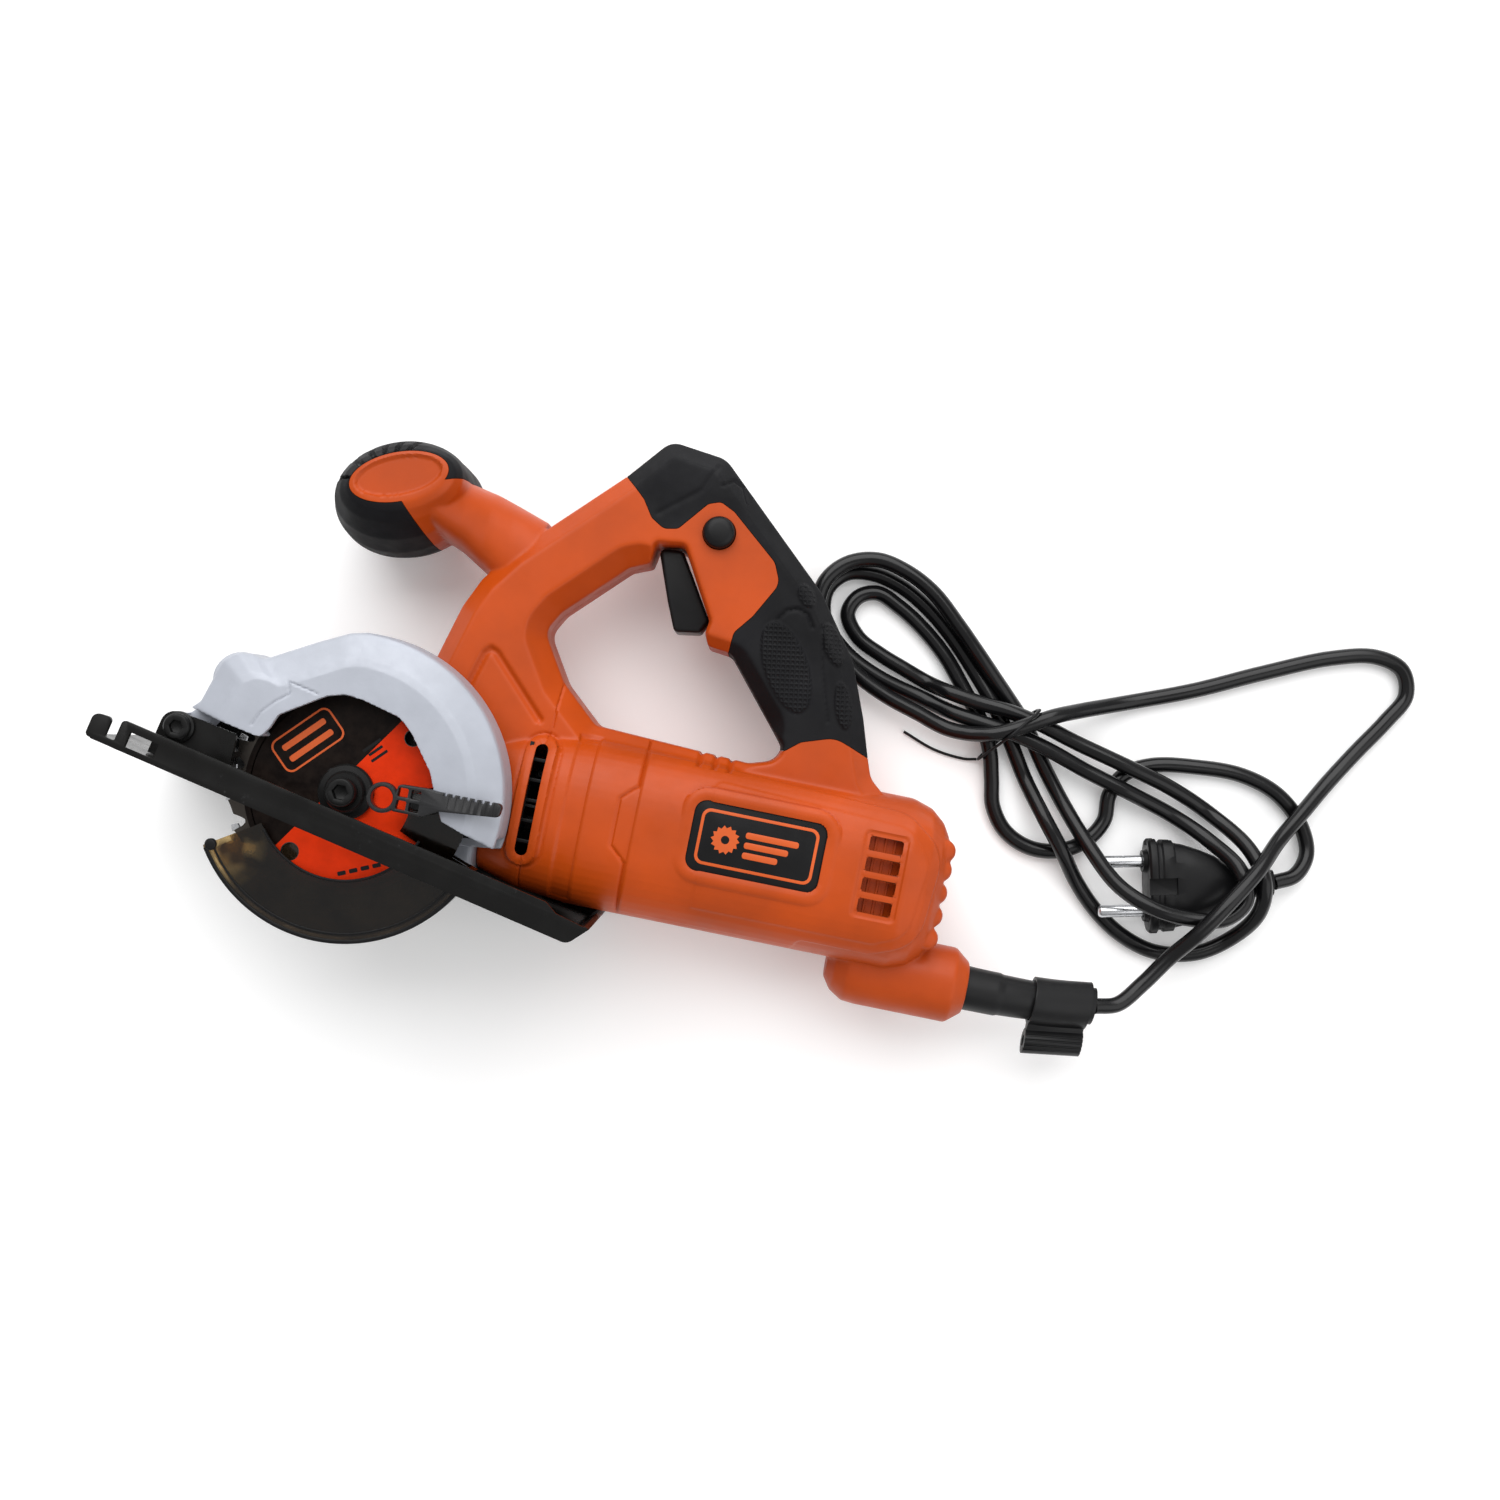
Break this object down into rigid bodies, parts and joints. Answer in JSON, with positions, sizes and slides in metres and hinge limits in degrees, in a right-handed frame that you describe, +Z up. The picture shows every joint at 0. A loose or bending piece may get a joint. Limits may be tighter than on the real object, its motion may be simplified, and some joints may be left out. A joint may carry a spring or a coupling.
{
  "type": "compact circular saw",
  "caption": "Compact corded circular saw with a swinging blade guard, tilting depth shoe, trigger handle with front knob, and a mains cord folded and tied beside it.",
  "frame": {"origin": "centre of the saw's own box, without the cord, on the surface that its right side lies on", "axes": "+X along the motor from the blade to the cord outlet, +Y from the shoe to the handle, +Z up out of the surface along the blade spindle, towards the blade side"},
  "size_m": [0.4669, 0.2008, 0.0972],
  "materials": {
    "orange_plastic": "fine spark-eroded grain, satin",
    "black_rubber": "matt moulded elastomer with grip texture",
    "black_plastic": "satin to glossy black",
    "grey_plastic": "dark grey, satin",
    "smoky_plastic": "smoky see-through polycarbonate",
    "cast_aluminium": "fine-blasted casting with a clear silver coat",
    "bright_steel": "ground and zinc-plated steel",
    "blackened_steel": "black oxide",
    "black_paint": "semi-gloss black powder coat",
    "copper_wire": "enamelled copper",
    "lamination_steel": "stacked electrical steel",
    "brass": "pressed brass",
    "carbon": "matt graphite",
    "white_nylon": "natural nylon"
  },
  "bodies": {
    "housing": {"left_housing": "orange_plastic", "right_housing": "orange_plastic", "housing_screw_1": "bright_steel", "housing_screw_2": "bright_steel", "housing_screw_3": "bright_steel", "housing_screw_4": "bright_steel", "housing_screw_5": "bright_steel", "badge_plate": "black_plastic", "rear_grip_left": "black_rubber", "rear_grip_right": "black_rubber", "front_grip_left": "black_rubber", "front_grip_right": "black_rubber", "gear_case": "cast_aluminium", "spindle_bearing": "bright_steel", "spindle_bush": "brass", "motor_front_bearing": "bright_steel", "motor_rear_bearing": "bright_steel", "upper_guard": "cast_aluminium", "guard_screw_1": "blackened_steel", "guard_screw_2": "blackened_steel", "depth_bolt": "bright_steel", "pivot_bolt": "blackened_steel", "pivot_nut": "blackened_steel", "stator_core": "lamination_steel", "field_coil_upper": "copper_wire", "field_coil_lower": "copper_wire", "carbon_brush_upper": "carbon", "carbon_brush_lower": "carbon", "brush_holder_upper": "brass", "brush_holder_lower": "brass", "switch_body": "black_plastic", "cord_clamp": "black_plastic", "internal_lead": "black_plastic", "strain_relief": "black_rubber", "hex_key_clip": "black_rubber", "mains_cord": "black_plastic", "plug_body": "black_plastic", "plug_pin_1": "bright_steel", "plug_pin_2": "bright_steel", "cord_tie": "black_plastic"},
    "shoe": {"shoe_plate": "black_paint", "pivot_bracket": "black_paint", "depth_quadrant": "black_paint"},
    "guard": {"lower_guard": "smoky_plastic", "guard_lever": "grey_plastic"},
    "blade": {"spindle": "bright_steel", "crown_gear": "bright_steel", "inner_flange": "blackened_steel", "saw_blade": "bright_steel", "outer_flange": "blackened_steel", "blade_bolt": "blackened_steel"},
    "armature": {"motor_shaft": "bright_steel", "cooling_fan": "white_nylon", "armature_core": "lamination_steel", "armature_winding": "copper_wire", "commutator": "copper_wire"},
    "trigger": {"trigger": "black_plastic"},
    "lock_button": {"lock_button": "black_plastic"},
    "spindle_lock": {"spindle_lock": "black_plastic"},
    "depth_lever": {"depth_lever": "black_plastic"}
  },
  "joints": [
    {"name": "shoe_depth", "type": "hinge", "parent": "housing", "child": "shoe", "pos_m": [-0.1569, -0.03647, 0.07], "axis": [0, 0, 1], "range_deg": [-27, 0]},
    {"name": "guard_swing", "type": "hinge", "parent": "housing", "child": "guard", "pos_m": [-0.09771, -0.04757, 0.07], "axis": [0, 0, 1], "range_deg": [0, 115], "stiffness_Nm_per_rad": 0.03, "springref_deg": -17.19},
    {"name": "blade_spin", "type": "hinge", "parent": "housing", "child": "blade", "pos_m": [-0.09771, -0.04757, 0.074], "axis": [0, 0, 1], "continuous": true},
    {"name": "armature_spin", "type": "hinge", "parent": "housing", "child": "armature", "pos_m": [0.00229, -0.04757, 0.033], "axis": [1, 0, 0], "continuous": true},
    {"name": "trigger_pull", "type": "hinge", "parent": "housing", "child": "trigger", "pos_m": [-0.00622, 0.05893, 0.033], "axis": [0, 0, 1], "range_deg": [0, 8], "stiffness_Nm_per_rad": 0.3, "springref_deg": -5.73},
    {"name": "lock_off_press", "type": "slide", "parent": "housing", "child": "lock_button", "axis": [0, 0, -1], "range_m": [0, 0.003], "stiffness_N_per_m": 300, "springref_m": -0.002},
    {"name": "spindle_lock_press", "type": "slide", "parent": "housing", "child": "spindle_lock", "axis": [1, 0, 0], "range_m": [0, 0.003], "stiffness_N_per_m": 400, "springref_m": -0.002},
    {"name": "depth_lever_turn", "type": "hinge", "parent": "housing", "child": "depth_lever", "pos_m": [-0.06371, -0.04457, 0.005], "axis": [0, 0, 1], "range_deg": [0, 70]}
  ],
  "couplings": [
    {"joint": "armature_spin", "follows": "blade_spin", "ratio": -3.5}
  ]
}
